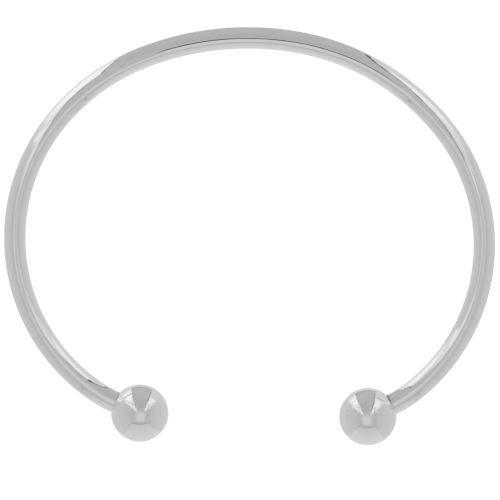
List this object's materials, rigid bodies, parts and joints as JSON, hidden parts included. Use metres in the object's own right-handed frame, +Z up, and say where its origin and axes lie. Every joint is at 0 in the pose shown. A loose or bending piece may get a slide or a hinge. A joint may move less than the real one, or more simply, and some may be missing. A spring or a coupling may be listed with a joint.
{
  "type": "ball-end open bangle",
  "caption": "Open oval bangle of round polished silver wire with a plain ball on each end, lying flat; the wrist slips in through the gap between the balls.",
  "frame": {"origin": "on the surface the bangle lies on, under the middle of its length and depth", "axes": "+X along the bangle's length, parallel to the line through the two balls; +Y from the balls to the back of the hoop; +Z up"},
  "size_m": [0.0682, 0.0578, 0.008],
  "materials": {
    "polished_silver": "high polish"
  },
  "bodies": {
    "root": {"hoop": "polished_silver", "ball_left": "polished_silver", "ball_right": "polished_silver"}
  },
  "joints": []
}
